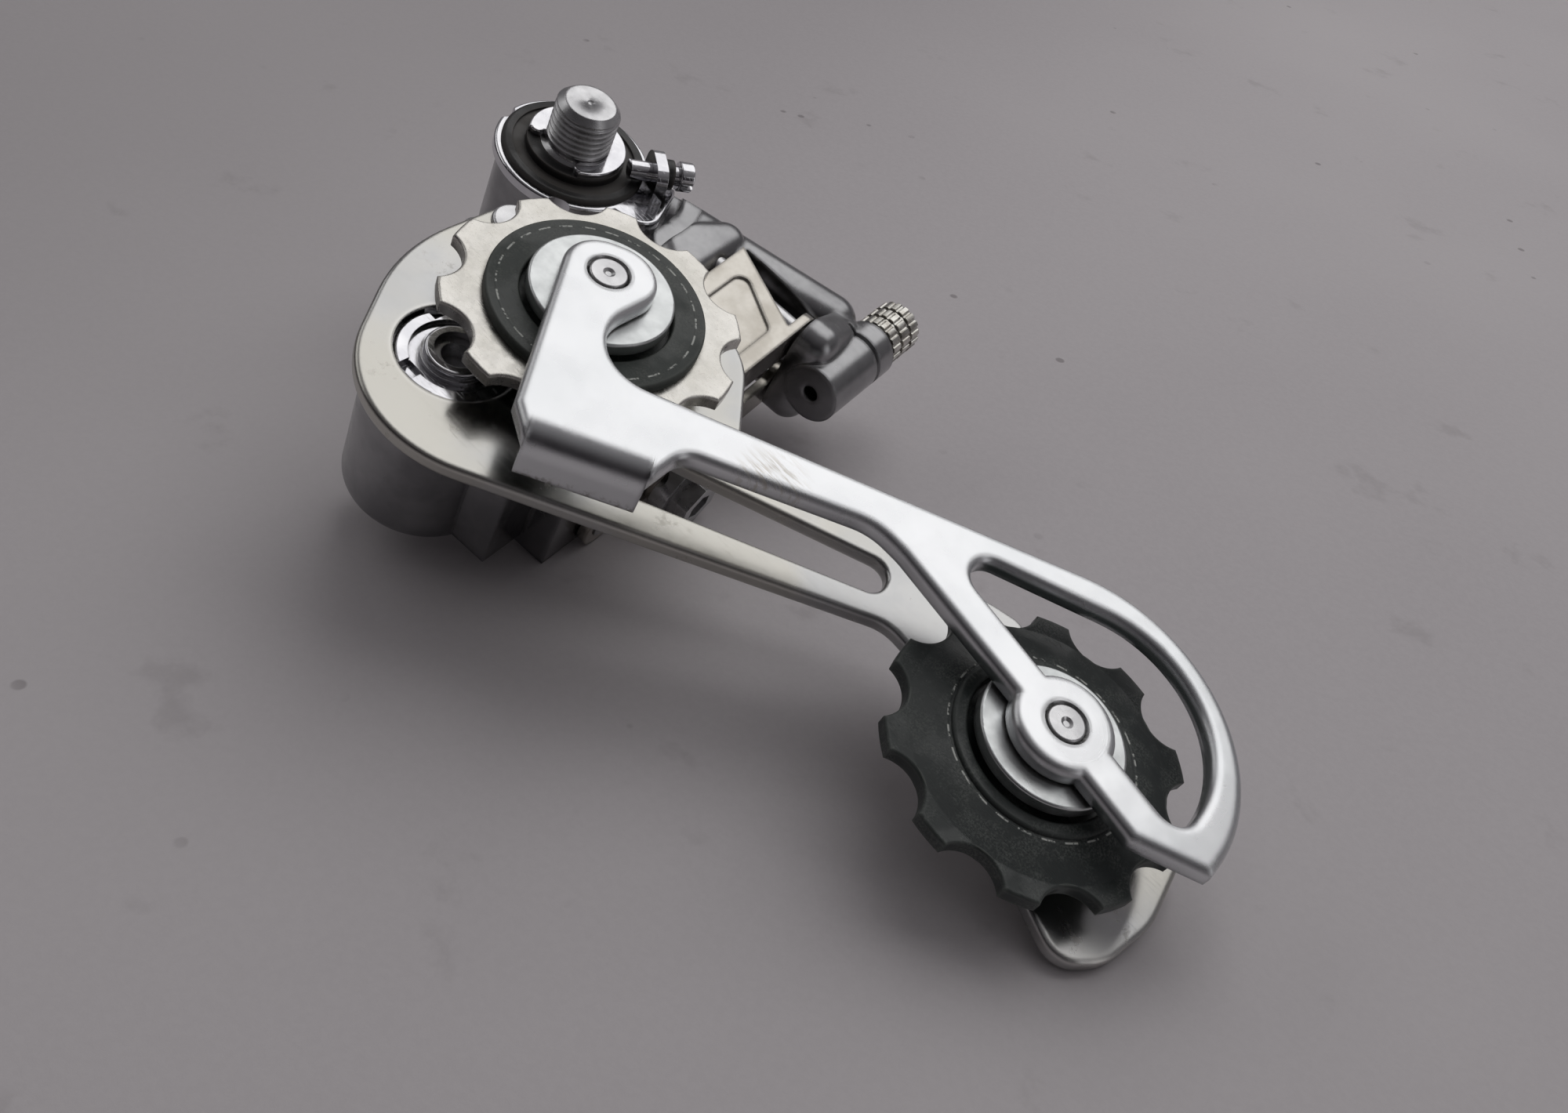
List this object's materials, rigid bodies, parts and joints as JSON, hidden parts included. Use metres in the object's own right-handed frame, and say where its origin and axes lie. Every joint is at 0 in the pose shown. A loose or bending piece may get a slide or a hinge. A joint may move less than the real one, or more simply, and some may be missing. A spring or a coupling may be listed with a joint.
{
  "type": "rear bicycle derailleur",
  "caption": "Long-cage slant-parallelogram rear derailleur with two jockey pulleys between alloy cage plates, barrel cable adjuster and hanger bolt.",
  "frame": {"origin": "on the hanger bolt axis, at the face that meets the frame's hanger", "axes": "+Z along the hanger bolt axis, inboard; +X from the guide pulley towards the tension pulley at rest; +Y towards the rear"},
  "size_m": [0.148, 0.0934, 0.0417],
  "materials": {
    "zinc_steel": "zinc plated, slightly dulled",
    "chrome_trim": "bright plated",
    "black_plastic": "satin black",
    "polished_alloy": "buffed, mirror-like",
    "spring_steel": "oiled spring wire",
    "nickel_brass": "nickel plated, worn knurl",
    "nickel_steel": "nickel plated pressing",
    "worn_alloy": "tarnished satin",
    "satin_alloy": "bright satin, scuffed",
    "satin_steel": "satin",
    "pulley_plastic": "worn, dusty",
    "sintered_ring": "worn matt"
  },
  "bodies": {
    "hanger_mount": {"mounting_bolt": "zinc_steel", "retaining_clip": "chrome_trim", "dust_cap": "black_plastic", "stop_plate": "chrome_trim", "screw_sleeve": "black_plastic"},
    "b_tension_screw": {"b_tension_screw": "chrome_trim"},
    "b_knuckle": {"b_knuckle": "polished_alloy", "b_spring": "spring_steel", "upper_link_pins": "zinc_steel", "return_spring": "spring_steel"},
    "high_limit_screw": {"high_limit_screw": "zinc_steel"},
    "low_limit_screw": {"low_limit_screw": "zinc_steel"},
    "barrel_adjuster": {"barrel_adjuster": "nickel_brass"},
    "inner_link": {"inner_link": "nickel_steel"},
    "outer_link": {"outer_link": "nickel_steel", "cable_anchor_bolt": "zinc_steel", "cable_anchor_washer": "zinc_steel", "cable_anchor_nut": "zinc_steel"},
    "p_knuckle": {"p_knuckle": "polished_alloy", "lower_link_pins": "zinc_steel", "cage_spring": "spring_steel"},
    "cage": {"pivot_axle": "zinc_steel", "spring_retainer": "chrome_trim", "outer_cage_plate": "worn_alloy", "inner_cage_plate": "satin_alloy", "cage_stop_pin": "zinc_steel", "pulley_bolts": "zinc_steel", "guide_bushing": "zinc_steel", "tension_bushing": "zinc_steel", "guide_dust_caps": "satin_steel", "tension_dust_caps": "satin_steel"},
    "guide_pulley": {"guide_pulley_hub": "pulley_plastic", "guide_tooth_ring": "sintered_ring"},
    "tension_pulley": {"tension_pulley": "pulley_plastic"}
  },
  "joints": [
    {"name": "hanger_pivot", "type": "hinge", "parent": "hanger_mount", "child": "b_knuckle", "pos_m": [0, 0, -0.012], "axis": [0, 0, 1], "range_deg": [-15, 15], "stiffness_Nm_per_rad": 1},
    {"name": "b_tension_turn", "type": "hinge", "parent": "hanger_mount", "child": "b_tension_screw", "pos_m": [0.0081, 0.0033, -0.0003], "axis": [0.5808, 0.8141, 0], "range_deg": [-360, 360]},
    {"name": "high_limit_turn", "type": "hinge", "parent": "b_knuckle", "child": "high_limit_screw", "pos_m": [0.03555, 0.01817, -0.0103], "axis": [-0.0872, 0.9962, 0], "range_deg": [-360, 360]},
    {"name": "low_limit_turn", "type": "hinge", "parent": "b_knuckle", "child": "low_limit_screw", "pos_m": [0.03555, 0.01817, -0.0157], "axis": [-0.0872, 0.9962, 0], "range_deg": [-360, 360]},
    {"name": "barrel_turn", "type": "hinge", "parent": "b_knuckle", "child": "barrel_adjuster", "pos_m": [0.0503, 0.01946, -0.008], "axis": [-0.0872, 0.9962, 0], "range_deg": [-720, 720]},
    {"name": "shift_outer_link", "type": "hinge", "parent": "b_knuckle", "child": "outer_link", "pos_m": [0.03687, 0.00594, -0.0145], "axis": [-0.9962, -0.0872, 0], "range_deg": [0, 38], "stiffness_Nm_per_rad": 1, "springref_deg": -20.05},
    {"name": "shift_inner_link", "type": "hinge", "parent": "b_knuckle", "child": "inner_link", "pos_m": [0.03687, 0.00594, -0.004], "axis": [-0.9962, -0.0872, 0], "range_deg": [0, 38]},
    {"name": "shift_p_knuckle", "type": "hinge", "parent": "outer_link", "child": "p_knuckle", "pos_m": [0.0404, -0.03439, -0.01875], "axis": [-0.9962, -0.0872, 0], "range_deg": [-38, 0]},
    {"name": "cage_pivot", "type": "hinge", "parent": "p_knuckle", "child": "cage", "pos_m": [0.0276, -0.0491, 0], "axis": [0, 0, -1], "range_deg": [0, 85], "stiffness_Nm_per_rad": 0.3, "springref_deg": -34.38},
    {"name": "guide_pulley_spin", "type": "hinge", "parent": "cage", "child": "guide_pulley", "pos_m": [0.0339, -0.0331, 0.0105], "axis": [0, 0, 1], "continuous": true},
    {"name": "tension_pulley_spin", "type": "hinge", "parent": "cage", "child": "tension_pulley", "pos_m": [0.1123, -0.0331, 0.0105], "axis": [0, 0, 1], "continuous": true}
  ],
  "couplings": [
    {"joint": "shift_inner_link", "follows": "shift_outer_link", "ratio": 1},
    {"joint": "shift_p_knuckle", "follows": "shift_outer_link", "ratio": -1}
  ]
}
